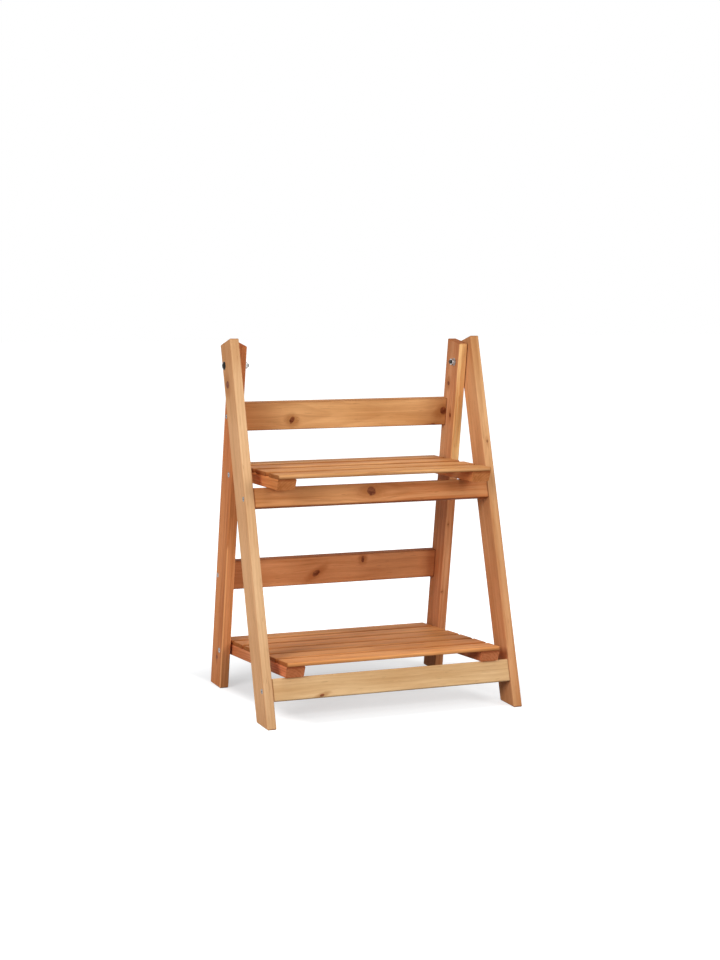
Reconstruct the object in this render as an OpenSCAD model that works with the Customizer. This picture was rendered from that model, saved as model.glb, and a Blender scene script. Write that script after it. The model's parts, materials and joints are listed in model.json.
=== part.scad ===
// Two-tier folding plant ladder stand, built board by board in millimetres.
// X runs across, Y to the back and Z up; the origin is on the floor, midway between the feet.
// Each frame and shelf is drawn in its own upright frame, with a pivot at its origin,
// and then leaned or tilted into place.

/* [Stand] */
// Width over the outer faces of the front legs
stand_w = 440; // [420:1:500]
// Height of the main pivot bolts above the floor
pivot_h = 536; // [530:1:545]
// Lean of the front legs from upright, in degrees
front_lean = 18.8; // [18.4:0.1:19.2]
// Lean of the rear legs from upright, in degrees
rear_lean = 5.5; // [5.2:0.1:5.8]

/* [Legs] */
// Depth of a leg board from front to back
leg_d = 45; // [44.5:0.5:46]
// Thickness of every leg board and rail board
board_t = 15.5; // [14.5:0.5:16]
// Radius of the softened long edges of legs, rails and bars
arris_r = 2; // [1:0.25:3]
// Chamfer round the top end and the foot of a leg
leg_ease = 1.5; // [0.5:0.25:2]
// Chamfer round the ends of rails, slats and bars
end_ease = 1; // [0.25:0.25:1.25]
// Length of a front leg above its pivot bolt
front_top = 36; // [30:1:50]
// Length of a rear leg above its pivot bolt
rear_top = 34; // [30:1:50]
// Distance from the pivot bolt to the back edge of a front leg
front_bolt_edge = 8.5; // [8:0.5:9.5]
// Distance from the pivot bolt to the front edge of a rear leg
rear_bolt_edge = 14.5; // [13.5:0.5:15]
// Gap between a front leg and a rear leg, which a washer fills
leg_gap = 1; // [0.8:0.1:1.5]

/* [Rails] */
// Setback of the front rails behind the front edges of the front legs
rail_setback = 1; // [0:0.25:2]
// Distance down the front leg from the pivot bolt to the middle of the upper front rail
upper_front_drop = 219.5; // [218:0.5:221]
// Width of the upper front rail board
upper_front_h = 32; // [30:0.5:33]
// Distance down the front leg from the pivot bolt to the middle of the lower front rail
lower_front_drop = 518; // [516:0.5:520]
// Width of the lower front rail board
lower_front_h = 35; // [33:0.5:37]
// Distance down the rear leg from the pivot bolt to the middle of the upper rear rail
upper_rear_drop = 88.5; // [80:0.5:100]
// Width of the upper rear rail board
upper_rear_h = 46; // [40:0.5:50]
// Distance down the rear leg from the pivot bolt to the middle of the lower rear rail
lower_rear_drop = 354.5; // [340:0.5:365]
// Width of the lower rear rail board
lower_rear_h = 48; // [40:0.5:50]

/* [Shelves] */
// Gap between a shelf and the rear leg beside it, which a spacer fills
shelf_gap = 4; // [3:0.5:6]
// Thickness of a slat
slat_t = 6.5; // [6.25:0.25:7]
// Width of a slat
slat_w = 42; // [40:0.5:45]
// Radius of the softened long edges of the slats
slat_r = 2.75; // [1:0.25:3]
// Width of a shelf bar, seen from above
bar_w = 31; // [28:0.5:34]
// Height of a shelf bar
bar_h = 17.5; // [16.5:0.25:18]
// Setback of the front end of a bar behind the front edge of its shelf
bar_setback = 1; // [0:0.5:3]
// Angle of the undercut at the front end of a bar, in degrees
bar_undercut = 24; // [0:1:30]
// Distance from the front edge of a rear leg to the shelf pivot screws
shelf_screw_edge = 12.5; // [12:0.5:13]
// Gap left where a shelf rests on the rounded top edge of its front rail
rest_gap = 0.3; // [0.2:0.05:0.5]

/* [Upper shelf] */
// Distance down the rear leg from the pivot bolt to the upper shelf's pivot
upper_drop = 179; // [178:0.5:180]
// Reach of the upper shelf in front of its pivot
upper_front = 169; // [164:0.5:169]
// Reach of the upper shelf behind its pivot
upper_back = 42; // [39:0.5:42]
// Number of slats in the upper shelf
upper_slats = 4; // [4:1:4]

/* [Lower shelf] */
// Distance down the rear leg from the pivot bolt to the lower shelf's pivot
lower_drop = 475.5; // [474:0.5:477]
// Reach of the lower shelf in front of its pivot
lower_front = 251; // [246:0.5:251]
// Reach of the lower shelf behind its pivot
lower_back = 37; // [34:0.5:37]
// Number of slats in the lower shelf
lower_slats = 6; // [6:1:6]

/* [Pivot bolts] */
// Diameter of a pivot bolt's shank
bolt_d = 6; // [5:0.5:6.5]
// Diameter of a pivot bolt's domed head
bolt_head_d = 14; // [12:0.5:16]
// Height of a pivot bolt's domed head
bolt_head_h = 3; // [2:0.25:4]
// Length of bolt that shows beyond its nut
bolt_end = 2.5; // [1:0.25:4]
// Width of a nut across its flats
nut_af = 10; // [9.5:0.5:11]
// Thickness of a nut
nut_h = 5; // [4:0.25:6]
// Diameter of the washer under a nut
nut_washer_d = 12.5; // [11.5:0.5:14]
// Thickness of the washer under a nut
nut_washer_t = 1.2; // [0.8:0.1:1.6]
// Diameter of the washer between two legs
leg_washer_d = 15; // [12:0.5:16]
// Radial clearance of every turning or fitted hole
fit = 0.05; // [0.02:0.01:0.09]

/* [Screws] */
// Diameter of a rail screw
rail_screw_d = 4; // [3:0.5:5]
// Length of a rail screw
rail_screw_l = 45; // [35:1:60]
// Diameter of a rail screw's countersunk head
rail_screw_head = 8; // [7:0.5:9]
// Diameter of a shelf pivot screw
shelf_screw_d = 5; // [4:0.5:6]
// Length of a shelf pivot screw
shelf_screw_l = 42; // [38:1:44]
// Diameter of a shelf pivot screw's countersunk head
shelf_screw_head = 9; // [8:0.5:10]
// Depth of the screw heads below the face of the leg
head_sink = 0.2; // [0.1:0.1:0.5]
// Outer diameter of the spacer beside a shelf
spacer_d = 12; // [10:0.5:14]
// Length of the cross recess in a screw head
recess_l = 4.4; // [3:0.2:5]
// Width of the cross recess in a screw head
recess_w = 0.9; // [0.6:0.1:1.2]
// Depth of the cross recess in a screw head
recess_h = 1.2; // [0.8:0.1:1.6]
// Diameter of a brad that holds a slat
brad_d = 2; // [1.4:0.2:2.4]
// Length of a brad
brad_l = 11; // [9:0.5:11.5]
// Distance of a brad from the middle of its slat
brad_offset = 11; // [8:0.5:14]
// Depth of a brad's head below the face of its slat
brad_sink = 0.3; // [0.1:0.1:0.6]

/* [Hidden] */
$fn = 48;

// Faces across the stand, on its right-hand side.
front_leg_out = stand_w / 2;
front_leg_in = front_leg_out - board_t;
rear_leg_out = front_leg_in - leg_gap;
rear_leg_in = rear_leg_out - board_t;
shelf_out = rear_leg_in - shelf_gap;
bar_mid = shelf_out - bar_w / 2;

// Depths in each frame, measured back from the pivot bolt.
front_leg_mid = front_bolt_edge - leg_d / 2;
front_rail_mid = front_bolt_edge - leg_d + rail_setback + board_t / 2;
rear_leg_mid = leg_d / 2 - rear_bolt_edge;
rear_rail_mid = leg_d - rear_bolt_edge - board_t / 2;
shelf_pivot_y = shelf_screw_edge - rear_bolt_edge;

// The feet set the stand's depth, and the origin is midway between them.
foot_front = (front_bolt_edge - leg_d) / cos(front_lean) - pivot_h * tan(front_lean);
foot_back = (leg_d - rear_bolt_edge) / cos(rear_lean) + pivot_h * tan(rear_lean);
pivot_y = -(foot_front + foot_back) / 2;
foot_length_front = leg_d / cos(front_lean);
foot_length_rear = leg_d / cos(rear_lean);

// A point [y, z] of a frame that leans by an angle, in the row's directions.
function leaned(p, angle) = [
    p[0] * cos(angle) - p[1] * sin(angle),
    p[0] * sin(angle) + p[1] * cos(angle)
];

// Where a shelf's pivot is, and where the round top edge of its rail is, from the pivot bolt.
function shelf_pivot(drop) = leaned([shelf_pivot_y, -drop], rear_lean);
function rail_edge(drop, height) = leaned(
    [front_rail_mid - board_t / 2 + arris_r, height / 2 - arris_r - drop], -front_lean);

// A shelf tilts until the underside of its bars rests on that edge.
rest_depth = bar_h / 2 + arris_r + rest_gap;
function shelf_tilt(edge) = asin(rest_depth / norm(edge)) - atan2(-edge[1], -edge[0]);
upper_tilt = shelf_tilt(rail_edge(upper_front_drop, upper_front_h) - shelf_pivot(upper_drop));
lower_tilt = shelf_tilt(rail_edge(lower_front_drop, lower_front_h) - shelf_pivot(lower_drop));

// The slats share out what is left of a shelf's depth as gaps.
function slat_mid(i, front, back, count) =
    slat_w / 2 - front + (i - 1) * (front + back - slat_w) / (count - 1);

// Places of the parts of a shelf, measured up from its pivot.
slat_z = bar_h / 2 + slat_t / 2;
brad_top = bar_h / 2 + slat_t - brad_sink;

// Sizes of the nut's round corners.
nut_corner = nut_af / cos(30);
nut_round = (nut_af + nut_corner) / 2;

// Share of a screw's diameter that is left at its point.
point_share = 0.25;

// How far drills, saws and uncut boards reach past what is cut.
spare = 1;

// ---- Places ----

module at_front_frame() {
    translate([0, pivot_y, pivot_h])
        rotate([-front_lean, 0, 0])
            children();
}

module at_rear_frame() {
    translate([0, pivot_y, pivot_h])
        rotate([rear_lean, 0, 0])
            children();
}

module at_shelf(drop, tilt) {
    translate([0, pivot_y + shelf_pivot(drop)[0], pivot_h + shelf_pivot(drop)[1]])
        rotate([-tilt, 0, 0])
            children();
}

module at_upper_shelf() {
    at_shelf(upper_drop, upper_tilt)
        children();
}

module at_lower_shelf() {
    at_shelf(lower_drop, lower_tilt)
        children();
}

module both_sides() {
    children();
    mirror([1, 0, 0])
        children();
}

// ---- Shared shapes ----

// Section of a planed board with softened edges.
module board_section(size, r) {
    square([size[0] - 2 * r, size[1]], center = true);
    square([size[0], size[1] - 2 * r], center = true);
    for (x = [-1, 1], y = [-1, 1])
        translate([x * (size[0] / 2 - r), y * (size[1] / 2 - r)])
            circle(r);
}

// Rectangle whose four corners are cut off at 45 degrees.
module cut_rectangle(width, height, cut) {
    x = width / 2;
    y = height / 2;
    polygon([
        [x - cut, y], [x, y - cut], [x, cut - y], [x - cut, -y],
        [cut - x, -y], [-x, cut - y], [-x, y - cut], [cut - x, y]
    ]);
}

// Board that stands on end, with softened long edges and a chamfer round each end.
module board(size, r, ease) {
    cut = ease + 2 * spare;
    height = size[2] + 2 * spare;
    intersection() {
        linear_extrude(size[2], center = true)
            board_section(size, r);
        rotate([90, 0, 0])
            linear_extrude(size[1] + 2 * spare, center = true)
                cut_rectangle(size[0] + 2 * spare, height, cut);
        rotate([90, 0, 90])
            linear_extrude(size[0] + 2 * spare, center = true)
                cut_rectangle(size[1] + 2 * spare, height, cut);
    }
}

// Board that lies across the stand; size is its depth and its height.
module cross_board(length, size, r) {
    rotate([90, 0, 90])
        board([size[0], size[1], length], r, end_ease);
}

// Cylinder along X that starts at x and runs inwards, to the left.
module inward_rod(x, length, d) {
    translate([x, 0, 0])
        rotate([0, -90, 0])
            cylinder(h = length, d = d);
}

// Countersunk screw that enters from the right, with its head in the face at x.
module wood_screw(x, length, d, head_d) {
    cone_h = (head_d - d) / 2;
    tip_h = d;
    difference() {
        translate([x - head_sink, 0, 0])
            rotate([0, -90, 0])
                union() {
                    cylinder(h = cone_h, d1 = head_d, d2 = d);
                    cylinder(h = length - tip_h, d = d);
                    translate([0, 0, length - tip_h])
                        cylinder(h = tip_h, d1 = d, d2 = d * point_share);
                }
        translate([x - head_sink, 0, 0])
            cube([2 * recess_h, recess_l, recess_w], center = true);
        translate([x - head_sink, 0, 0])
            cube([2 * recess_h, recess_w, recess_l], center = true);
    }
}

// Countersunk hole for that screw, through the board whose outer face is at x.
module screw_hole(x, length, d, head_d) {
    hole_d = d + 2 * fit;
    mouth_d = head_d + 2 * fit + 2 * head_sink;
    inward_rod(x + fit, length + 2 * fit, hole_d);
    translate([x, 0, 0])
        rotate([0, -90, 0])
            cylinder(h = (mouth_d - hole_d) / 2, d1 = mouth_d, d2 = hole_d);
}

// ---- Frames ----

// Funnel that stands on the floor, to cut a foot level and chamfer its two sides.
module foot_funnel(side, length) {
    height = 2 * pivot_h;
    left = side + leg_ease;
    right = side + length - leg_ease;
    polygon([[left, 0], [right, 0], [right + height, height], [left - height, height]]);
}

// Cuts a leg level at the floor; its inner face is at x, and the front of its foot is at y.
module on_floor(x, y, foot_length) {
    intersection() {
        children();
        rotate([90, 0, 0])
            linear_extrude(2 * pivot_h, center = true)
                foot_funnel(x, board_t);
        rotate([90, 0, 90])
            linear_extrude(stand_w)
                foot_funnel(y, foot_length);
    }
}

module front_leg() {
    length = pivot_h / cos(front_lean) + front_top + leg_d;
    on_floor(front_leg_in, pivot_y + foot_front, foot_length_front)
        at_front_frame()
            difference() {
                translate([front_leg_in + board_t / 2, front_leg_mid, front_top - length / 2])
                    board([board_t, leg_d, length], arris_r, leg_ease);
                inward_rod(front_leg_out + fit, board_t + 2 * fit, bolt_d + 2 * fit);
                for (drop = [upper_front_drop, lower_front_drop])
                    translate([0, front_rail_mid, -drop])
                        screw_hole(front_leg_out, board_t, rail_screw_d, rail_screw_head);
            }
}

module rear_leg() {
    length = pivot_h / cos(rear_lean) + rear_top + leg_d;
    on_floor(rear_leg_in, pivot_y + foot_back - foot_length_rear, foot_length_rear)
        at_rear_frame()
            difference() {
                translate([rear_leg_in + board_t / 2, rear_leg_mid, rear_top - length / 2])
                    board([board_t, leg_d, length], arris_r, leg_ease);
                inward_rod(rear_leg_out + fit, board_t + 2 * fit, bolt_d + 2 * fit);
                for (drop = [upper_rear_drop, lower_rear_drop])
                    translate([0, rear_rail_mid, -drop])
                        screw_hole(rear_leg_out, board_t, rail_screw_d, rail_screw_head);
                for (drop = [upper_drop, lower_drop])
                    translate([0, shelf_pivot_y, -drop])
                        screw_hole(rear_leg_out, board_t, shelf_screw_d, shelf_screw_head);
            }
}

// Rail between two legs whose inner faces are at x, drilled in its ends for a screw.
module rail(x, mid, drop, height) {
    pilot = rail_screw_l - board_t + spare;
    translate([0, mid, -drop])
        difference() {
            cross_board(2 * x, [board_t, height], arris_r);
            both_sides()
                inward_rod(x + fit, pilot, rail_screw_d + 2 * fit);
        }
}

module front_rail(drop, height) {
    at_front_frame()
        rail(front_leg_in, front_rail_mid, drop, height);
}

module rear_rail(drop, height) {
    at_rear_frame()
        rail(rear_leg_in, rear_rail_mid, drop, height);
}

module front_leg_left() {
    color("sandybrown")
        mirror([1, 0, 0])
            front_leg();
}

module front_leg_right() {
    color("peru")
        front_leg();
}

module rear_leg_left() {
    color("sienna")
        mirror([1, 0, 0])
            rear_leg();
}

module rear_leg_right() {
    color("sienna")
        rear_leg();
}

module upper_front_rail() {
    color("peru")
        front_rail(upper_front_drop, upper_front_h);
}

module lower_front_rail() {
    color("burlywood")
        front_rail(lower_front_drop, lower_front_h);
}

module upper_rear_rail() {
    color("peru")
        rear_rail(upper_rear_drop, upper_rear_h);
}

module lower_rear_rail() {
    color("chocolate")
        rear_rail(lower_rear_drop, lower_rear_h);
}

// ---- Fasteners of the frames ----

module front_rail_screws() {
    color("silver")
        at_front_frame()
            both_sides()
                for (drop = [upper_front_drop, lower_front_drop])
                    translate([0, front_rail_mid, -drop])
                        wood_screw(front_leg_out, rail_screw_l, rail_screw_d, rail_screw_head);
}

module rear_rail_screws() {
    color("silver")
        at_rear_frame()
            both_sides()
                for (drop = [upper_rear_drop, lower_rear_drop])
                    translate([0, rear_rail_mid, -drop])
                        wood_screw(rear_leg_out, rail_screw_l, rail_screw_d, rail_screw_head);
}

// Low dome on the outer face of a front leg, and a shank that ends beyond the nut.
module pivot_bolt() {
    shank = front_leg_out - rear_leg_in + nut_washer_t + nut_h + bolt_end;
    dome_r = (pow(bolt_head_d / 2, 2) + pow(bolt_head_h, 2)) / (2 * bolt_head_h);
    inward_rod(front_leg_out, shank, bolt_d);
    intersection() {
        translate([front_leg_out + bolt_head_h - dome_r, 0, 0])
            rotate([0, 90, 0])
                sphere(dome_r);
        inward_rod(front_leg_out + bolt_head_h, bolt_head_h, bolt_head_d);
    }
}

module pivot_bolts() {
    color("dimgray")
        at_rear_frame()
            both_sides()
                pivot_bolt();
}

module pivot_nut() {
    face = rear_leg_in - nut_washer_t;
    difference() {
        intersection() {
            translate([face, 0, 0])
                rotate([0, -90, 0])
                    cylinder(h = nut_h, d = nut_corner, $fn = 6);
            translate([face, 0, 0])
                rotate([0, -90, 0])
                    cylinder(h = nut_h, d1 = nut_corner, d2 = nut_round);
        }
        inward_rod(face + fit, nut_h + 2 * fit, bolt_d + 2 * fit);
    }
}

module pivot_nuts() {
    color("silver")
        at_rear_frame()
            both_sides()
                pivot_nut();
}

// Washer whose outer face is at x.
module washer(x, thickness, d, hole) {
    difference() {
        inward_rod(x, thickness, d);
        inward_rod(x + fit, thickness + 2 * fit, hole);
    }
}

module nut_washers() {
    color("silver")
        at_rear_frame()
            both_sides()
                washer(rear_leg_in, nut_washer_t, nut_washer_d, bolt_d + 2 * fit);
}

module leg_washers() {
    color("gray")
        at_rear_frame()
            both_sides()
                washer(front_leg_in, leg_gap, leg_washer_d, bolt_d + 2 * fit);
}

// ---- Shelves ----

module slat(mid) {
    translate([0, mid, slat_z])
        difference() {
            cross_board(2 * shelf_out, [slat_w, slat_t], slat_r);
            both_sides()
                for (y = [-brad_offset, brad_offset])
                    translate([bar_mid, y, 0])
                        cylinder(h = slat_t + 2 * fit, d = brad_d + 2 * fit, center = true);
        }
}

module brad(mid) {
    both_sides()
        for (y = [-brad_offset, brad_offset])
            translate([bar_mid, mid + y, brad_top - brad_l])
                cylinder(h = brad_l, d = brad_d);
}

// Bar under the right-hand ends of a shelf's slats, undercut in front and bored for its pivot.
module shelf_bar(front, back, count) {
    front_end = front - bar_setback;
    length = front_end + back + spare;
    bore = shelf_screw_l - head_sink - board_t - shelf_gap + spare;
    saw = 2 * bar_w;
    difference() {
        translate([bar_mid, back - length / 2, 0])
            rotate([90, 0, 0])
                board([bar_w, bar_h, length], arris_r, end_ease);
        translate([bar_mid, -front_end, bar_h / 2])
            rotate([bar_undercut, 0, 0])
                translate([0, -saw / 2, 0])
                    cube(saw, center = true);
        inward_rod(shelf_out + fit, bore, shelf_screw_d + 2 * fit);
        for (i = [1:count], y = [-brad_offset, brad_offset])
            translate([bar_mid, slat_mid(i, front, back, count) + y, brad_top - brad_l - fit])
                cylinder(h = brad_l, d = brad_d + 2 * fit);
    }
}

module upper_bar() {
    at_upper_shelf()
        shelf_bar(upper_front, upper_back, upper_slats);
}

module lower_bar() {
    at_lower_shelf()
        shelf_bar(lower_front, lower_back, lower_slats);
}

module upper_bar_left() {
    color("peru")
        mirror([1, 0, 0])
            upper_bar();
}

module upper_bar_right() {
    color("sienna")
        upper_bar();
}

module lower_bar_left() {
    color("sienna")
        mirror([1, 0, 0])
            lower_bar();
}

module lower_bar_right() {
    color("sienna")
        lower_bar();
}

// Slats are numbered from the front.
module upper_slat(i) {
    color("peru")
        at_upper_shelf()
            slat(slat_mid(i, upper_front, upper_back, upper_slats));
}

module lower_slat(i) {
    color("chocolate")
        at_lower_shelf()
            slat(slat_mid(i, lower_front, lower_back, lower_slats));
}

module upper_slat_brads() {
    color("gray")
        at_upper_shelf()
            for (i = [1:upper_slats])
                brad(slat_mid(i, upper_front, upper_back, upper_slats));
}

module lower_slat_brads() {
    color("gray")
        at_lower_shelf()
            for (i = [1:lower_slats])
                brad(slat_mid(i, lower_front, lower_back, lower_slats));
}

module shelf_pivot_screws() {
    color("silver")
        at_rear_frame()
            both_sides()
                for (drop = [upper_drop, lower_drop])
                    translate([0, shelf_pivot_y, -drop])
                        wood_screw(rear_leg_out, shelf_screw_l, shelf_screw_d, shelf_screw_head);
}

module shelf_spacers() {
    color("black")
        at_rear_frame()
            both_sides()
                for (drop = [upper_drop, lower_drop])
                    translate([0, shelf_pivot_y, -drop])
                        washer(rear_leg_in, shelf_gap, spacer_d, shelf_screw_d + 2 * fit);
}

front_leg_left();
front_leg_right();
rear_leg_left();
rear_leg_right();
upper_front_rail();
lower_front_rail();
upper_rear_rail();
lower_rear_rail();
front_rail_screws();
rear_rail_screws();
pivot_bolts();
pivot_nuts();
nut_washers();
leg_washers();
upper_bar_left();
upper_bar_right();
lower_bar_left();
lower_bar_right();
upper_slat(1);  // upper_slat_1
upper_slat(2);  // upper_slat_2
upper_slat(3);  // upper_slat_3
upper_slat(4);  // upper_slat_4
lower_slat(1);  // lower_slat_1
lower_slat(2);  // lower_slat_2
lower_slat(3);  // lower_slat_3
lower_slat(4);  // lower_slat_4
lower_slat(5);  // lower_slat_5
lower_slat(6);  // lower_slat_6
upper_slat_brads();
lower_slat_brads();
shelf_pivot_screws();
shelf_spacers();
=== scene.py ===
"""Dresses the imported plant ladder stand: stained softwood boards, bright hardware and a white studio."""
import json
import math
from collections import namedtuple

import bmesh
import bpy
from mathutils import Matrix, Vector

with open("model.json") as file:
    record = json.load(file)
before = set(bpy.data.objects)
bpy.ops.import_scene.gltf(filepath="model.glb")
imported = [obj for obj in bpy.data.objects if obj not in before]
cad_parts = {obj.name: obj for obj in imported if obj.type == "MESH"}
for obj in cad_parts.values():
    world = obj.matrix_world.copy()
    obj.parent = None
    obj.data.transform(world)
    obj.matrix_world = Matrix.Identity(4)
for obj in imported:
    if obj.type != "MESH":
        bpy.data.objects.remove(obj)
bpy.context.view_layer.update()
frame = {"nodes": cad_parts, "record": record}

MM = 0.001

# ---- The camera, found by fitting the stand to the photograph ----
PHOTO_WIDTH = 720
PHOTO_HEIGHT = 960
FOCAL_PIXELS = 2058.09
AXIS_PIXEL = (365.83, 407.31)
CAMERA_AT = Vector((-1346.07, -2990.12, 872.88)) * MM
CAMERA_YAW = 0.4223
CAMERA_PITCH = -0.1215
CAMERA_ROLL = 0.0272
SENSOR = 36.0

# ---- How the frames of the stand lean, in degrees, and how many slats its shelves have ----
FRONT_LEAN = -18.8
REAR_LEAN = 5.5
UPPER_SLATS = 4
LOWER_SLATS = 6

# ---- Which of a frame's own axes run along, across and through each kind of board ----
LEG = (2, 1, 0)
RAIL = (0, 2, 1)
SLAT = (0, 1, 2)
BAR = (1, 0, 2)

# ---- Stains, as screen colours, worked out so that the boards' average tones come near the photo's ----
TAN = (238, 182, 130)
HONEY = (224, 168, 118)
AMBER = (222, 163, 104)
TOFFEE = (225, 166, 118)
GOLD = (231, 179, 121)
COPPER = (230, 166, 109)
YELLOW = (238, 199, 147)
RED = (232, 151, 94)
RUSSET = (223, 155, 105)
# CHESTNUT, OCHRE and BROWN are partly stain and partly painted light: they are made lighter to make up for
# the shade that the lower slats and the bars lie in
CHESTNUT = (235, 166, 103)
OCHRE = (238, 160, 99)
BROWN = (237, 152, 103)

# ---- What multiplies a stain: pale and deep patches, late wood, dark marks, end grain, rubbed edges ----
PALE = (1.16, 1.20, 1.26)
DEEP = (0.80, 0.68, 0.56)
LATE = (0.58, 0.40, 0.28)
DARK = (0.33, 0.16, 0.09)
SAWN = (0.56, 0.42, 0.32)
WORN = (1.5, 1.9, 2.2)

# ---- What multiplies the wood's colour: narrow sides made deeper, which is painted shade in the gaps between ----
# ---- slats and along the rails, or made paler, which is painted light, and redder stretches ----
SHADED = (0.66, 0.55, 0.47)
LIT = (1.06, 1.14, 1.30)
REDDER = (0.88, 0.68, 0.60)

# ---- Noise along the grain: the length and width of its marks in mm, and its detail and roughness ----
Grain = namedtuple("Grain", "length width detail roughness", defaults=(2.0, 0.5))
PATCHES = Grain(170, 55)
BANDS = Grain(300, 9.0)
STREAKS = Grain(220, 4.5, 3.0, 0.55)
THREADS = Grain(80, 1.9, 2.0, 0.6)
FIBRE = Grain(16, 0.7, 2.0, 0.6)
FLECKS = Grain(26, 1.3, 1.0)
RINGS_WANDER = Grain(240, 120)
RINGS_WAVER = Grain(45, 30)
RINGS_FADE = Grain(90, 25)
SOAKING = Grain(60, 6)
KNOT_RAGGED = Grain(7, 5, 3.0)
KNOT_MOTTLE = Grain(4, 2.5)
NOISE_MIDDLE = 0.5

# ---- How a noise marks the wood: where the mark begins, where it is full, and how much it then covers ----
Mark = namedtuple("Mark", "start stop amount")
COARSE_GRAIN = (
    (BANDS, Mark(0.50, 0.72, 0.45), Mark(0.50, 0.30, 0.70)),
    (STREAKS, Mark(0.54, 0.76, 0.50), Mark(0.46, 0.28, 0.65)),
    (THREADS, Mark(0.56, 0.72, 0.30), Mark(0.44, 0.28, 0.40)),
)
FIBRE_MARK = Mark(0.45, 0.75, 0.20)
FLECK_MARK = Mark(0.69, 0.77, 0.5)
PATCH_SPREAD = (0.18, 0.82)

# ---- Growth rings: how far they stray in mm, where late wood rises and ends in one, and its strength ----
RINGS_STRAY = 22
RINGS_TREMBLE = 2.2
LATE_RISES = (0.15, 0.82)
LATE_ENDS = (0.86, 1.0)
RINGS_LEAST = 0.2
RINGS_VARY = 0.55

# ---- Edges and ends, in mm from them, and how much their marks cover ----
NARROW_REACH = (1.2, 0.3)
ARRIS_REACH = (3.0, 0.4)
# The dark arris is painted shade along the edges of boards with shaded narrow sides, and the pale arris is a
# painted highlight
ARRIS_PAINTED_SHADE = 0.4
ARRIS_PAINTED_HIGHLIGHT = 0.12
RUB_FADE = 12
RUB_AMOUNT = 0.6
SOAK_DEPTH = 110
SOAK_LEAST = 12
SOAK_FULL = 2.0
SOAK_AMOUNT = 0.28
# The thin dark line at the very ends is painted shade, where the ends meet the legs and the floor
END_LINE_SHADE_REACH = (2.4, 0.5)
END_LINE_SHADE_AMOUNT = 0.6
SAWN_FACING = (0.45, 0.8)
SAWN_AMOUNT = 0.28

# ---- Knots: place along and across from the board's middle and radius in mm, and how far drawn out ----
# ---- and turned, in degrees ----
Knot = namedtuple("Knot", "along across radius stretch tilt", defaults=(1.0, 0))
KNOT_DARK = (100, 46, 24)
KNOT_LIT = (172, 102, 64)
FLOW_LENGTH = 0.45
FLOW_PUSH = 1.3
FLOW_CALM = 0.5
HALO_LENGTH = 0.5
HALO_MARK = Mark(2.4, 0.7, 0.7)
CORE_RAGGED = 0.6
CORE_REACH = (1.15, 0.75)
CORE_AMOUNT = 0.95
HEART_MARK = Mark(-0.5, 1.1, 0.45)
MOTTLE_MARK = Mark(0.42, 0.66, 0.45)
SIDE_KNOTS = 0.65

# ---- A redder stretch of a board: by how much, where in half lengths it begins and is full, and whether ----
# ---- the narrow sides share it ----
Reddened = namedtuple("Reddened", "amount start stop on_sides", defaults=(True,))

# ---- Where the slats of a shelf lie in their tree: what they all start from, and what each one adds ----
Tree = namedtuple("Tree", "seed next_seed across next_across through next_through")
UPPER_TREE = Tree(40.0, 5.3, 9, -5, -34, -3)
LOWER_TREE = Tree(71.0, 4.7, 12, -5, -30, -4)
SLAT_RING = 5.0
SLAT_TAPER = 0.006

# ---- The surface of the wood ----
WOOD_ROUGHNESS = 0.50
FIBRE_ROUGHENS = 0.14
SAWN_ROUGHENS = 0.16
HARD_SMOOTHS = 0.1
RINGS_HARD = 0.2
RINGS_HEIGHT = 0.4
FIBRE_HEIGHT = 0.6
FLECK_PIT = Mark(0.68, 0.8, 0.6)
HARD_HEIGHT = 0.6
WOOD_BUMP = 0.4
WOOD_RELIEF = 0.3 * MM
WOOD_SHINE = 0.06

# ---- Metal and nylon; noise scales are in marks to the metre ----
RAIL_SCREW_HEAD = 8
SHELF_SCREW_HEAD = 9
ZINC = (176, 176, 175)
BLACKENED = (44, 42, 40)
BRAD_STEEL = (140, 128, 116)
NYLON = (38, 34, 33)
METAL_MOTTLE = 420.0
METAL_SPREAD = (0.35, 0.65)
SCRATCH_SCALE = 2600.0
SCRATCH_MARK = Mark(0.5, 0.75, 0.1)
SCRATCH_HEIGHT = 0.5
METAL_BUMP = 0.25
PLATED_BRIGHT = 1.2
PLATED_DULL = 0.8
PLATED_ROUGHNESS = 0.24
PLATED_VARIES = 0.2
# The darker rim and the dark cross on each screw head are painted shade
RIM_SHADE_TONE = 0.22
RIM_SHADE_MARK = Mark(0.55, 0.92, 0.85)
RECESS_SHADE_TONE = 0.10
RECESS_WIDTH = (0.75, 0.5)
RECESS_LENGTH = (2.6, 2.3)
RECESS_SHADE_AMOUNT = 0.9
NYLON_GRAIN = 900.0
NYLON_SPREAD = (0.4, 0.7)
NYLON_BRIGHT = 1.6
NYLON_ROUGHNESS = 0.42
NYLON_VARIES = 0.2
NYLON_BUMP = 0.2
HARDWARE_RELIEF = 0.05 * MM

# ---- The studio, in metres; the floor that is seen glows, least behind the stand, which is painted shadow, ----
# ---- and fully far from it and past a slanting line on its left, which is painted light clearing lamp
# shadows ----
FLOOR_HALF = 6.0
FLOOR_DROP = 0.2 * MM
FLOOR_LIT = (0.22, 0.22, 0.22, 1.0)
FLOOR_SEEN = (0.51, 0.525, 0.535, 1.0)
PAINTED_SHADOW_GLOW_BACK = (0.52, 0.52, 0.52, 1.0)
PAINTED_SHADOW_GLOW_FRONT = (0.655, 0.655, 0.655, 1.0)
WHITE = (1.0, 1.0, 1.0, 1.0)
SHADOW_CLEARING_FAR_REACH = (0.2, 0.5)
LEFT_SLANT = 0.2
LEFT_SHIFT = 0.033
SHADOW_CLEARING_LEFT_REACH = (-0.185, -0.245)
FORWARD_X = 0.6
FORWARD_Y = 0.8
PAINTED_SHADOW_FORWARD_REACH = (-0.2, 0.1)
SKY_STRENGTH = 0.27
WHITE_STRENGTH = 1.0


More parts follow.
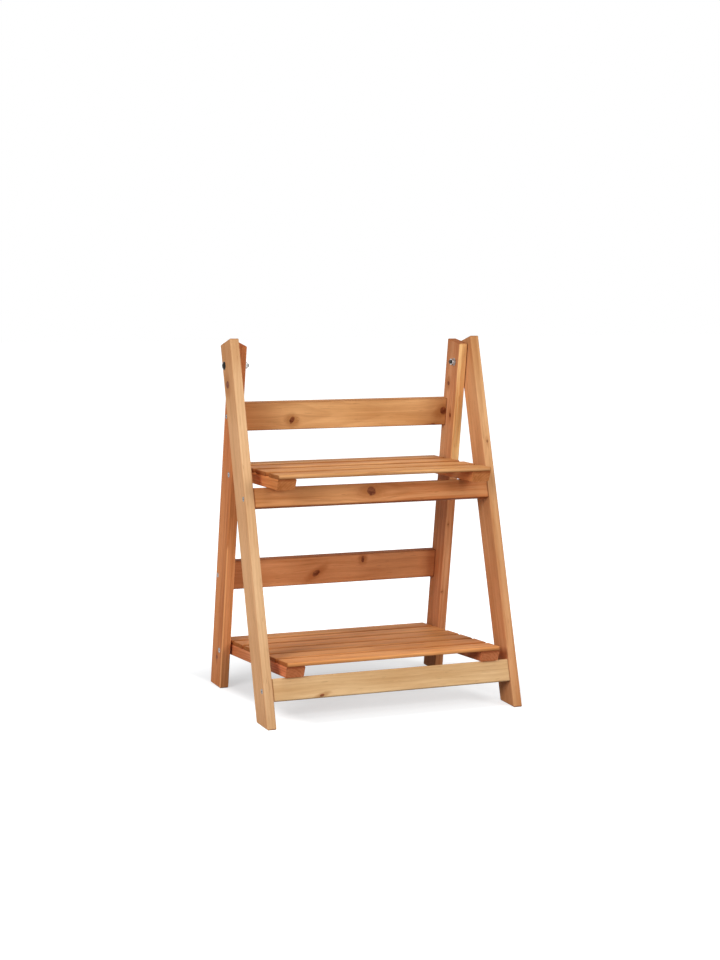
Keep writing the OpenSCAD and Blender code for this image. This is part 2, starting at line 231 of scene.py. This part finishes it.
def from_screen(red, green, blue):
    """A screen colour, from 0 to 255, as the linear colour that shaders take."""
    parts = []
    for value in (red, green, blue):
        value /= 255
        parts.append(value / 12.92 if value <= 0.04045 else ((value + 0.055) / 1.055) ** 2.4)
    return (*parts, 1.0)


def scaled(colour, red, green=None, blue=None):
    """A colour with its channels multiplied."""
    green = red if green is None else green
    blue = red if blue is None else blue
    return (colour[0] * red, colour[1] * green, colour[2] * blue, 1.0)


# ---- Shader maths ----

class Wire:
    """A socket's value, on which Python's operators add Math nodes."""

    def __init__(self, finish, socket):
        self.finish = finish
        self.socket = socket

    def math(self, operation, *others):
        values = dict(enumerate((self, *others)))
        return self.finish.node("ShaderNodeMath", {"operation": operation}, values)

    def __add__(self, other):
        return self.math("ADD", other)

    def __radd__(self, other):
        return self.math("ADD", other)

    def __sub__(self, other):
        return self.math("SUBTRACT", other)

    def __rsub__(self, other):
        return self.finish.node("ShaderNodeMath", {"operation": "SUBTRACT"}, {0: other, 1: self})

    def __mul__(self, other):
        return self.math("MULTIPLY", other)

    def __rmul__(self, other):
        return self.math("MULTIPLY", other)

    def __truediv__(self, other):
        return self.math("DIVIDE", other)

    def __abs__(self):
        return self.math("ABSOLUTE")

    def part(self, axis):
        """One number of a vector; axis is 0, 1 or 2."""
        return self.finish.node("ShaderNodeSeparateXYZ", None, {"Vector": self}, axis)

    def square(self):
        return self.math("MULTIPLY", self)

    def root(self):
        return self.math("SQRT")

    def least(self, other):
        return self.math("MINIMUM", other)

    def most(self, other):
        return self.math("MAXIMUM", other)

    def rise(self, start, stop):
        """Goes smoothly from 0 at start to 1 at stop."""
        return self.finish.node(
            "ShaderNodeMapRange",
            {"interpolation_type": "SMOOTHSTEP"},
            {"Value": self, "From Min": start, "From Max": stop, "To Min": 0.0, "To Max": 1.0},
        )

    def marked(self, mark, strength=1.0):
        """How much of a mark shows, for this noise or distance."""
        return self.rise(mark.start, mark.stop) * (mark.amount * strength)


class Finish:
    """A material or world, and the one method that adds its nodes."""

    def __init__(self, owner):
        owner.use_nodes = True
        self.tree = owner.node_tree
        self.tree.nodes.clear()

    def node(self, kind, settings=None, inputs=None, output=0):
        made = self.tree.nodes.new(kind)
        for name, value in (settings or {}).items():
            setattr(made, name, value)
        for name, value in (inputs or {}).items():
            if isinstance(value, Wire):
                self.tree.links.new(value.socket, made.inputs[name])
            else:
                made.inputs[name].default_value = value
        return Wire(self, made.outputs[output]) if made.outputs else None

    def vector(self, x, y, z):
        return self.node("ShaderNodeCombineXYZ", None, {"X": x, "Y": y, "Z": z})

    def blend(self, first, second, factor, kind="MIX"):
        """Colours mixed; factor 0 is the first."""
        settings = {"data_type": "RGBA", "blend_type": kind, "clamp_factor": True}
        return self.node("ShaderNodeMix", settings, {0: factor, 6: first, 7: second}, 2)

    def noise(self, vector, scale=1.0, detail=2.0, roughness=0.5, distortion=0.0):
        inputs = {"Vector": vector, "Scale": scale, "Detail": detail}
        inputs.update({"Roughness": roughness, "Distortion": distortion})
        return self.node("ShaderNodeTexNoise", None, inputs)

    def relief(self, height, strength, distance):
        inputs = {"Height": height, "Strength": strength, "Distance": distance}
        return self.node("ShaderNodeBump", None, inputs)

    def coat(self, **inputs):
        """Puts a Principled surface with these inputs on the piece."""
        named = {name.replace("_", " "): value for name, value in inputs.items()}
        shade = self.node("ShaderNodeBsdfPrincipled", None, named)
        self.node("ShaderNodeOutputMaterial", None, {"Surface": shade})

    def white_or(self, lit, white):
        """The second shader for what the camera and reflections see, and the first for light."""
        seen = self.node("ShaderNodeLightPath", output="Is Camera Ray")
        seen = seen.most(self.node("ShaderNodeLightPath", output="Is Glossy Ray"))
        seen = seen.most(self.node("ShaderNodeLightPath", output="Is Transmission Ray"))
        return self.node("ShaderNodeMixShader", None, {0: seen, 1: lit, 2: white})


def finish_for(piece):
    """A new material on a piece."""
    material = bpy.data.materials.new(piece.name)
    piece.data.materials.clear()
    piece.data.materials.append(material)
    return Finish(material)


# ---- Wood ----

def joint_place(name):
    """Where a joint of the record is, in metres."""
    joints = frame["record"]["behaviour"]["joints"]
    return Vector(next(joint["pos_m"] for joint in joints if joint["name"] == name))


def shelf_tilt(name):
    """How far a shelf is turned about X, in radians, from the way its top faces."""
    axis = next(mount["axis"] for mount in frame["record"]["mounts"] if mount["name"] == name)
    return -math.atan2(axis[1], axis[2])


FRAMES = {
    "front": (joint_place("front_frame_fold"), math.radians(FRONT_LEAN)),
    "rear": (joint_place("front_frame_fold"), math.radians(REAR_LEAN)),
    "upper": (joint_place("upper_shelf_fold"), shelf_tilt("upper_shelf_top")),
    "lower": (joint_place("lower_shelf_fold"), shelf_tilt("lower_shelf_top")),
}


class Board:
    """A material in one board's own millimetres: along its grain, across its wide face and through it."""

    def __init__(self, piece, place, lie, seed):
        origin, tilt = FRAMES[place]
        turn = Matrix.Rotation(tilt, 3, "X")
        points = [turn.transposed() @ (vertex.co - origin) for vertex in piece.data.vertices]
        low = Vector([min(point[axis] for point in points) for axis in range(3)])
        high = Vector([max(point[axis] for point in points) for axis in range(3)])
        middle = (low + high) / 2
        half = (high - low) / 2 / MM
        self.finish = finish_for(piece)
        self.seed = seed
        spot = self.finish.node("ShaderNodeTexCoord", output="Object")
        settled = {"Vector": spot, "Location": origin + turn @ middle}
        settled.update({"Rotation": (tilt, 0, 0), "Scale": (MM, MM, MM)})
        own = self.finish.node("ShaderNodeMapping", {"vector_type": "TEXTURE"}, settled)
        self.along, self.across, self.through = (own.part(axis) for axis in lie)
        self.half_along, self.half_across, self.half_through = (half[axis] for axis in lie)
        self.grain_way = turn.col[lie[0]]

    def fibres(self, grain, flow=None):
        """Noise drawn out along the grain; flow stands in for the distance across where the grain bends."""
        along = self.along / grain.length + self.seed
        across = (self.across if flow is None else flow) / grain.width
        through = self.through / grain.width + self.seed
        space = self.finish.vector(along, across, through)
        return self.finish.noise(space, 1.0, grain.detail, grain.roughness)

    def round_knots(self, knots):
        """The distance across the board, bent so that the grain flows round its knots."""
        flow = self.across
        for knot in knots:
            beside = self.across - knot.across
            ahead = (self.along - knot.along) * FLOW_LENGTH
            push = FLOW_PUSH * knot.radius * knot.radius
            calm = FLOW_CALM * knot.radius * knot.radius
            flow = flow - beside * push / (ahead.square() + beside.square() + calm)
        return flow

    def rings(self, flow, pith, width, taper):
        """Late wood of the growth rings: 0 between them, rising slowly to 1 and ending sharply."""
        wander = self.fibres(RINGS_WANDER) - NOISE_MIDDLE
        waver = self.fibres(RINGS_WAVER) - NOISE_MIDDLE
        out = ((flow - pith[0]).square() + (self.through - pith[1]).square()).root()
        count = (out + self.along * taper + wander * RINGS_STRAY + waver * RINGS_TREMBLE) / width
        step = count.math("FRACT")
        return step.rise(*LATE_RISES) * (1 - step.rise(*LATE_ENDS))

    def narrow(self):
        """1 on the two narrow sides."""
        return (self.half_across - abs(self.across)).rise(*NARROW_REACH)

    def arris(self):
        """1 on the softened long edges."""
        side = (self.half_across - abs(self.across)).rise(*ARRIS_REACH)
        face = (self.half_through - abs(self.through)).rise(*ARRIS_REACH)
        return side * face

    def soaked(self):
        """1 at the ends of the board, where the stain soaked in, fading out along the grain."""
        reach = self.fibres(SOAKING) * SOAK_DEPTH
        return (self.half_along - abs(self.along)).rise(reach + SOAK_LEAST, SOAK_FULL)

    def end_line_shade(self):
        """1 on a thin line at the very ends, which is darkened there as painted shade."""
        return (self.half_along - abs(self.along)).rise(*END_LINE_SHADE_REACH)

    def sawn(self):
        """1 on the end grain of the sawn ends."""
        facing = self.finish.node("ShaderNodeTexCoord", output="Normal")
        inputs = {0: facing, 1: self.grain_way}
        towards = self.finish.node("ShaderNodeVectorMath", {"operation": "DOT_PRODUCT"}, inputs, "Value")
        return abs(towards).rise(*SAWN_FACING)


def mark_knots(board, colour, hard, knots, sideways, late, where=1.0):
    """Adds knots to the colour, and to how hard the wood is; sideways is the distance across the face that
    they show on."""
    finish = board.finish
    ragged = board.fibres(KNOT_RAGGED) - NOISE_MIDDLE
    mottle = board.fibres(KNOT_MOTTLE).marked(MOTTLE_MARK)
    for knot in knots:
        turn = math.radians(knot.tilt)
        ahead = board.along - knot.along
        beside = sideways - knot.across
        long_way = (ahead * math.cos(turn) - beside * math.sin(turn)) / knot.stretch
        short_way = ahead * math.sin(turn) + beside * math.cos(turn)
        halo = ((long_way * HALO_LENGTH).square() + short_way.square()).root() / knot.radius + ragged
        colour = finish.blend(colour, late, halo.marked(HALO_MARK) * where)
        far = (long_way.square() + short_way.square()).root() / knot.radius + ragged * CORE_RAGGED
        core = far.rise(*CORE_REACH) * where
        lit = (short_way / knot.radius).marked(HEART_MARK) + mottle
        heart = finish.blend(from_screen(*KNOT_DARK), from_screen(*KNOT_LIT), lit)
        colour = finish.blend(colour, heart, core * CORE_AMOUNT)
        hard = hard.most(core)
    return colour, hard


def wood(piece, place, lie, stain, seed, pith, ring, taper, knots=(), edge=None, contrast=1.0, redder=(),
         fade=None, side_knots=(), rubbed=None):
    """Stained softwood; pith is where the tree's middle lies across and through, ring the rings' width, and
    taper how fast the trunk thins. Edge multiplies the colour of the narrow sides: made darker it is painted
    shade, and made paler it is painted light. Fade is the stretch of the board, in half lengths, over which
    that sets in, and a paler edge faded out leaves the rest in painted shade. Side knots lie on the narrow
    sides. Rubbed is the place along the board below which its long edges are rubbed pale."""
    board = Board(piece, place, lie, seed)
    finish = board.finish
    tone = from_screen(*stain)
    pale = scaled(tone, *PALE)
    late = scaled(tone, *LATE)
    dark = scaled(tone, *DARK)
    share = board.along / board.half_along

    flow = board.round_knots(knots)
    rings = board.rings(flow, pith, ring, taper)
    fibre = board.fibres(FIBRE, flow)
    flecks = board.fibres(FLECKS, flow)
    narrow = board.narrow()

    colour = finish.blend(pale, scaled(tone, *DEEP), board.fibres(PATCHES).rise(*PATCH_SPREAD))
    for part in redder:
        where = share.rise(part.start, part.stop)
        where = where * (part.amount if part.on_sides else (1 - narrow) * part.amount)
        colour = finish.blend(colour, (*REDDER, 1.0), where, "MULTIPLY")
    strength = RINGS_LEAST + RINGS_VARY * board.fibres(RINGS_FADE)
    colour = finish.blend(colour, late, rings * strength * contrast)
    for grain, dark_mark, pale_mark in COARSE_GRAIN:
        noise = board.fibres(grain, flow)
        colour = finish.blend(colour, late, noise.marked(dark_mark, contrast))
        colour = finish.blend(colour, pale, noise.marked(pale_mark, contrast))
    colour = finish.blend(colour, late, fibre.marked(FIBRE_MARK))
    colour = finish.blend(colour, dark, flecks.marked(FLECK_MARK))
    colour = finish.blend(colour, late, board.soaked() * SOAK_AMOUNT)

    hard = rings * RINGS_HARD
    colour, hard = mark_knots(board, colour, hard, knots, board.across, late)
    colour, hard = mark_knots(board, colour, hard, side_knots, board.through, late, narrow * SIDE_KNOTS)

    sawn = board.sawn()
    arris = board.arris()
    colour = finish.blend(colour, scaled(tone, *SAWN), sawn * SAWN_AMOUNT)
    # The narrow sides' colour multiply is painted shade where it darkens and painted light where it lightens
    if edge:
        painted_edge = narrow * share.rise(*fade) if fade else narrow
        colour = finish.blend(colour, (*edge, 1.0), painted_edge, "MULTIPLY")
    # The arris is darkened as painted shade on boards with shaded narrow sides, and lightened as a painted
    # highlight on the others
    if edge == SHADED:
        colour = finish.blend(colour, dark, arris * ARRIS_PAINTED_SHADE)
    else:
        colour = finish.blend(colour, pale, arris * ARRIS_PAINTED_HIGHLIGHT)
    if rubbed is not None:
        worn = arris * board.along.rise(rubbed, rubbed - RUB_FADE) * RUB_AMOUNT
        colour = finish.blend(colour, scaled(tone, *WORN), worn)
    # Painted shade: a thin dark line at the very ends of the board
    colour = finish.blend(colour, dark, board.end_line_shade() * END_LINE_SHADE_AMOUNT)

    roughness = WOOD_ROUGHNESS + fibre * FIBRE_ROUGHENS + sawn * SAWN_ROUGHENS - hard * HARD_SMOOTHS
    height = rings * RINGS_HEIGHT + fibre * FIBRE_HEIGHT - flecks.marked(FLECK_PIT) + hard * HARD_HEIGHT
    relief = finish.relief(height, WOOD_BUMP, WOOD_RELIEF)
    finish.coat(Base_Color=colour, Roughness=roughness, Specular_IOR_Level=WOOD_SHINE, Normal=relief)


def cut_slat(piece, place, stain, number, tree, edge, contrast=1.0):
    """The wood of one slat of a shelf, from its own place in the tree."""
    pith = (tree.across + tree.next_across * number, tree.through + tree.next_through * number)
    wood(piece, place, SLAT, stain, seed=tree.seed + tree.next_seed * number, pith=pith, ring=SLAT_RING,
         taper=SLAT_TAPER, edge=edge, contrast=contrast)


def cut_boards():
    """The wood of every board, each from its own place in a tree."""
    node = frame["nodes"]
    wood(node["front_leg_left"], "front", LEG, TAN, seed=1.7, pith=(-30, 22), ring=4.5, taper=0.004,
         knots=[Knot(238.5, 7.0, 7.2, 0.85)], edge=(0.95, 1.09, 1.20), contrast=0.34)
    wood(node["front_leg_right"], "front", LEG, HONEY, seed=5.2, pith=(34, -16), ring=4.0, taper=0.006,
         edge=(1.00, 1.06, 1.05), contrast=0.55, redder=[Reddened(0.8, 0.55, -0.45)],
         side_knots=[Knot(128, 1.0, 1.8, 1.5)])
    wood(node["rear_leg_left"], "rear", LEG, RED, seed=9.4, pith=(-28, 26), ring=4.5, taper=0.010,
         knots=[Knot(-236, -1.4, 3.4, 1.1)], edge=(0.98, 1.08, 1.20), contrast=0.7,
         redder=[Reddened(0.8, -0.1, 0.7)], rubbed=-38)
    # On this leg the much paler narrow sides are painted light, and the redder stretch from 0.40 down to
    # 0.10, with the fade of those sides, is painted shade below the upper shelf
    wood(node["rear_leg_right"], "rear", LEG, TOFFEE, seed=14.1, pith=(26, 30), ring=4.2, taper=0.008,
         knots=[Knot(214, 7.3, 4.6, 0.75), Knot(162, -7.3, 3.3, 1.2)], edge=(1.62, 2.10, 1.98), contrast=0.7,
         redder=[Reddened(1.0, 0.40, 0.10), Reddened(0.85, 0.60, 0.75, False)], fade=(0.12, 0.35),
         side_knots=[Knot(-24, -3.0, 1.5, 1.2), Knot(-143, -5.5, 2.6, 0.6, 20)])
    wood(node["upper_front_rail"], "front", RAIL, COPPER, seed=19.5, pith=(4, -30), ring=5.0, taper=0.012,
         knots=[Knot(-3.9, 2.6, 7.6)], edge=SHADED, contrast=0.8, redder=[Reddened(1.0, -0.4, 0.45)])
    wood(node["lower_front_rail"], "front", RAIL, YELLOW, seed=23.3, pith=(-18, -26), ring=4.6, taper=0.006,
         knots=[Knot(-124.5, -14.2, 2.2, 2.0, -15)], contrast=0.36)
    wood(node["upper_rear_rail"], "rear", RAIL, GOLD, seed=28.9, pith=(3, -42), ring=5.5, taper=0.010,
         knots=[Knot(-91.8, -7.0, 6.4, 0.62, 25), Knot(182, 1.7, 6.6, 0.9, -30),
                Knot(164.6, -21.5, 2.4, 1.8)],
         edge=SHADED, contrast=0.55, redder=[Reddened(0.42, -0.35, -0.85)])
    wood(node["lower_rear_rail"], "rear", RAIL, RUSSET, seed=33.6, pith=(-6, -36), ring=5.0, taper=0.012,
         knots=[Knot(-31.5, -4.6, 4.8, 1.5, -35), Knot(52, 15, 6.0, 0.45)], edge=SHADED, contrast=0.5)
    for number in range(1, UPPER_SLATS + 1):
        edge = LIT if number == 1 else SHADED
        cut_slat(node[f"upper_slat_{number}"], "upper", AMBER, number, UPPER_TREE, edge)
    for number in range(1, LOWER_SLATS + 1):
        edge = None if number == 1 else SHADED
        cut_slat(node[f"lower_slat_{number}"], "lower", CHESTNUT, number, LOWER_TREE, edge, contrast=0.75)
    wood(node["upper_bar_left"], "upper", BAR, OCHRE, seed=120.0, pith=(20, -22), ring=4.2, taper=0.01)
    wood(node["lower_bar_left"], "lower", BAR, BROWN, seed=140.0, pith=(-18, -24), ring=4.2, taper=0.01)
    wood(node["upper_bar_right"], "upper", BAR, OCHRE, seed=126.0, pith=(20, -22), ring=4.2, taper=0.01)
    wood(node["lower_bar_right"], "lower", BAR, BROWN, seed=146.0, pith=(-18, -24), ring=4.2, taper=0.01)


# ---- Hardware ----

def metal_mottle(finish, spot):
    return finish.noise(spot, METAL_MOTTLE, detail=3.0, roughness=0.55)


def metal(piece, colour, smooth, rough, wear=0.2):
    """Plated or bare metal, with a mottled finish and fine scratches."""
    finish = finish_for(piece)
    spot = finish.node("ShaderNodeTexCoord", output="Object")
    mottle = metal_mottle(finish, spot)
    scratch = finish.noise(spot, SCRATCH_SCALE, detail=2.0, roughness=0.6, distortion=1.5)
    tone = finish.blend(scaled(colour, 1.0 + wear), scaled(colour, 1.0 - wear), mottle.rise(*METAL_SPREAD))
    roughness = smooth + (rough - smooth) * mottle + scratch.marked(SCRATCH_MARK)
    relief = finish.relief(mottle + scratch * SCRATCH_HEIGHT, METAL_BUMP, HARDWARE_RELIEF)
    finish.coat(Base_Color=tone, Metallic=1.0, Roughness=roughness, Normal=relief)


def screw_heads(piece, colour, head):
    """Plated screws that lie along X, one above the other; each flat head has a dark cross painted in as the
    shade of a cross recess, and a darker rim that is painted shade; head is its width in mm."""
    finish = finish_for(piece)
    spot = finish.node("ShaderNodeTexCoord", output="Object")
    points = [vertex.co for vertex in piece.data.vertices]
    middle = (min(point.z for point in points) + max(point.z for point in points)) / 2
    out = None
    cross = None
    for group in ([p for p in points if p.z < middle], [p for p in points if p.z >= middle]):
        y = (min(point.y for point in group) + max(point.y for point in group)) / 2
        z = (min(point.z for point in group) + max(point.z for point in group)) / 2
        level = abs(spot.part(1) - y) / MM
        upright = abs(spot.part(2) - z) / MM
        beside = (level.square() + upright.square()).root() / (head / 2)
        arms = level.least(upright).rise(*RECESS_WIDTH) * level.most(upright).rise(*RECESS_LENGTH)
        out = beside if out is None else out.least(beside)
        cross = arms if cross is None else cross.most(arms)
    mottle = metal_mottle(finish, spot)
    bright = scaled(colour, PLATED_BRIGHT)
    dull = scaled(colour, PLATED_DULL)
    tone = finish.blend(bright, dull, mottle.rise(*METAL_SPREAD))
    # Painted shade: a darker rim and a dark cross on each head
    tone = finish.blend(tone, scaled(colour, RIM_SHADE_TONE), out.marked(RIM_SHADE_MARK))
    tone = finish.blend(tone, scaled(colour, RECESS_SHADE_TONE), cross * RECESS_SHADE_AMOUNT)
    roughness = PLATED_ROUGHNESS + mottle * PLATED_VARIES
    relief = finish.relief(mottle, METAL_BUMP, HARDWARE_RELIEF)
    finish.coat(Base_Color=tone, Metallic=1.0, Roughness=roughness, Normal=relief)


def nylon(piece, colour):
    finish = finish_for(piece)
    spot = finish.node("ShaderNodeTexCoord", output="Object")
    grain = finish.noise(spot, NYLON_GRAIN)
    tone = finish.blend(colour, scaled(colour, NYLON_BRIGHT), grain.rise(*NYLON_SPREAD))
    relief = finish.relief(grain, NYLON_BUMP, HARDWARE_RELIEF)
    finish.coat(Base_Color=tone, Roughness=NYLON_ROUGHNESS + grain * NYLON_VARIES, Normal=relief)


def fit_hardware():
    node = frame["nodes"]
    zinc = from_screen(*ZINC)
    for name in ("pivot_nuts", "nut_washers", "leg_washers"):
        metal(node[name], zinc, smooth=0.22, rough=0.42)
    screw_heads(node["front_rail_screws"], zinc, RAIL_SCREW_HEAD)
    screw_heads(node["rear_rail_screws"], zinc, RAIL_SCREW_HEAD)
    screw_heads(node["shelf_pivot_screws"], zinc, SHELF_SCREW_HEAD)
    metal(node["pivot_bolts"], from_screen(*BLACKENED), smooth=0.18, rough=0.35, wear=0.3)
    for name in ("upper_slat_brads", "lower_slat_brads"):
        metal(node[name], from_screen(*BRAD_STEEL), smooth=0.35, rough=0.6, wear=0.3)
    nylon(node["shelf_spacers"], from_screen(*NYLON))


# ---- Studio ----

def studio_floor():
    mesh = bpy.data.meshes.new("studio_floor")
    build = bmesh.new()
    bmesh.ops.create_grid(build, x_segments=1, y_segments=1, size=FLOOR_HALF)
    bmesh.ops.translate(build, verts=build.verts, vec=(0, 0, -FLOOR_DROP))
    build.to_mesh(mesh)
    build.free()
    floor = bpy.data.objects.new("studio_floor", mesh)
    bpy.context.scene.collection.objects.link(floor)
    finish = finish_for(floor)
    lit = finish.node("ShaderNodeBsdfDiffuse", None, {"Color": FLOOR_LIT})
    seen = finish.node("ShaderNodeBsdfDiffuse", None, {"Color": FLOOR_SEEN})
    spot = finish.node("ShaderNodeTexCoord", output="Object")
    out = finish.node("ShaderNodeVectorMath", {"operation": "LENGTH"}, {0: spot}, "Value")
    # The seen floor is made darkest behind the stand, painted shadow, and white far off and past a slanting
    # line on the left, painted light that clears the lamps' shadows there
    left = (spot.part(0) + spot.part(1) * LEFT_SLANT - LEFT_SHIFT).rise(*SHADOW_CLEARING_LEFT_REACH)
    painted_shadow_forward = (spot.part(0) * FORWARD_X - spot.part(1) * FORWARD_Y).rise(*PAINTED_SHADOW_FORWARD_REACH)
    glow_with_painted_shadow = finish.blend(PAINTED_SHADOW_GLOW_BACK, PAINTED_SHADOW_GLOW_FRONT, painted_shadow_forward)
    glow_with_painted_shadow = finish.blend(glow_with_painted_shadow, WHITE, out.rise(*SHADOW_CLEARING_FAR_REACH).most(left))
    lift = finish.node("ShaderNodeEmission", None, {"Color": glow_with_painted_shadow, "Strength": WHITE_STRENGTH})
    seen = finish.node("ShaderNodeAddShader", None, {0: seen, 1: lift})
    finish.node("ShaderNodeOutputMaterial", None, {"Surface": finish.white_or(lit, seen)})


def studio_world():
    world = bpy.data.worlds.new("studio")
    bpy.context.scene.world = world
    sky = Finish(world)
    lit = sky.node("ShaderNodeBackground", None, {"Color": WHITE, "Strength": SKY_STRENGTH})
    white = sky.node("ShaderNodeBackground", None, {"Color": WHITE, "Strength": WHITE_STRENGTH})
    sky.node("ShaderNodeOutputWorld", None, {"Surface": sky.white_or(lit, white)})


def softbox(name, place, aim, size, power):
    """A square lamp; size is its side in metres and power is in watts."""
    lamp = bpy.data.lights.new(name, "AREA")
    lamp.shape = "RECTANGLE"
    lamp.size = size
    lamp.size_y = size
    lamp.energy = power
    holder = bpy.data.objects.new(name, lamp)
    holder.location = place
    holder.rotation_euler = (Vector(aim) - Vector(place)).to_track_quat("-Z", "Y").to_euler()
    bpy.context.scene.collection.objects.link(holder)


def camera():
    data = bpy.data.cameras.new("camera")
    data.sensor_width = SENSOR
    data.lens = FOCAL_PIXELS * SENSOR / PHOTO_HEIGHT
    data.shift_x = (PHOTO_WIDTH / 2 - AXIS_PIXEL[0]) / PHOTO_HEIGHT
    data.shift_y = (AXIS_PIXEL[1] - PHOTO_HEIGHT / 2) / PHOTO_HEIGHT
    holder = bpy.data.objects.new("camera", data)
    level = math.cos(CAMERA_PITCH)
    ahead = Vector((math.sin(CAMERA_YAW) * level, math.cos(CAMERA_YAW) * level, math.sin(CAMERA_PITCH)))
    right = Vector((math.cos(CAMERA_YAW), -math.sin(CAMERA_YAW), 0))
    above = right.cross(ahead)
    turned_right = math.cos(CAMERA_ROLL) * right + math.sin(CAMERA_ROLL) * above
    turned_up = math.cos(CAMERA_ROLL) * above - math.sin(CAMERA_ROLL) * right
    facing = Matrix((turned_right, turned_up, -ahead)).transposed().to_4x4()
    holder.matrix_world = Matrix.Translation(CAMERA_AT) @ facing
    bpy.context.scene.collection.objects.link(holder)
    bpy.context.scene.camera = holder


camera()
cut_boards()
fit_hardware()
studio_floor()
studio_world()
softbox("overhead_softbox", place=(0.0, -0.15, 2.4), aim=(0, 0, 0.2), size=0.6, power=13)
softbox("left_softbox", place=(-2.6, -1.6, 1.6), aim=(0, 0, 0.3), size=1.4, power=58)
softbox("right_softbox", place=(1.8, -2.4, 1.6), aim=(0, 0, 0.3), size=1.4, power=43)
bpy.context.scene.view_settings.view_transform = "Standard"
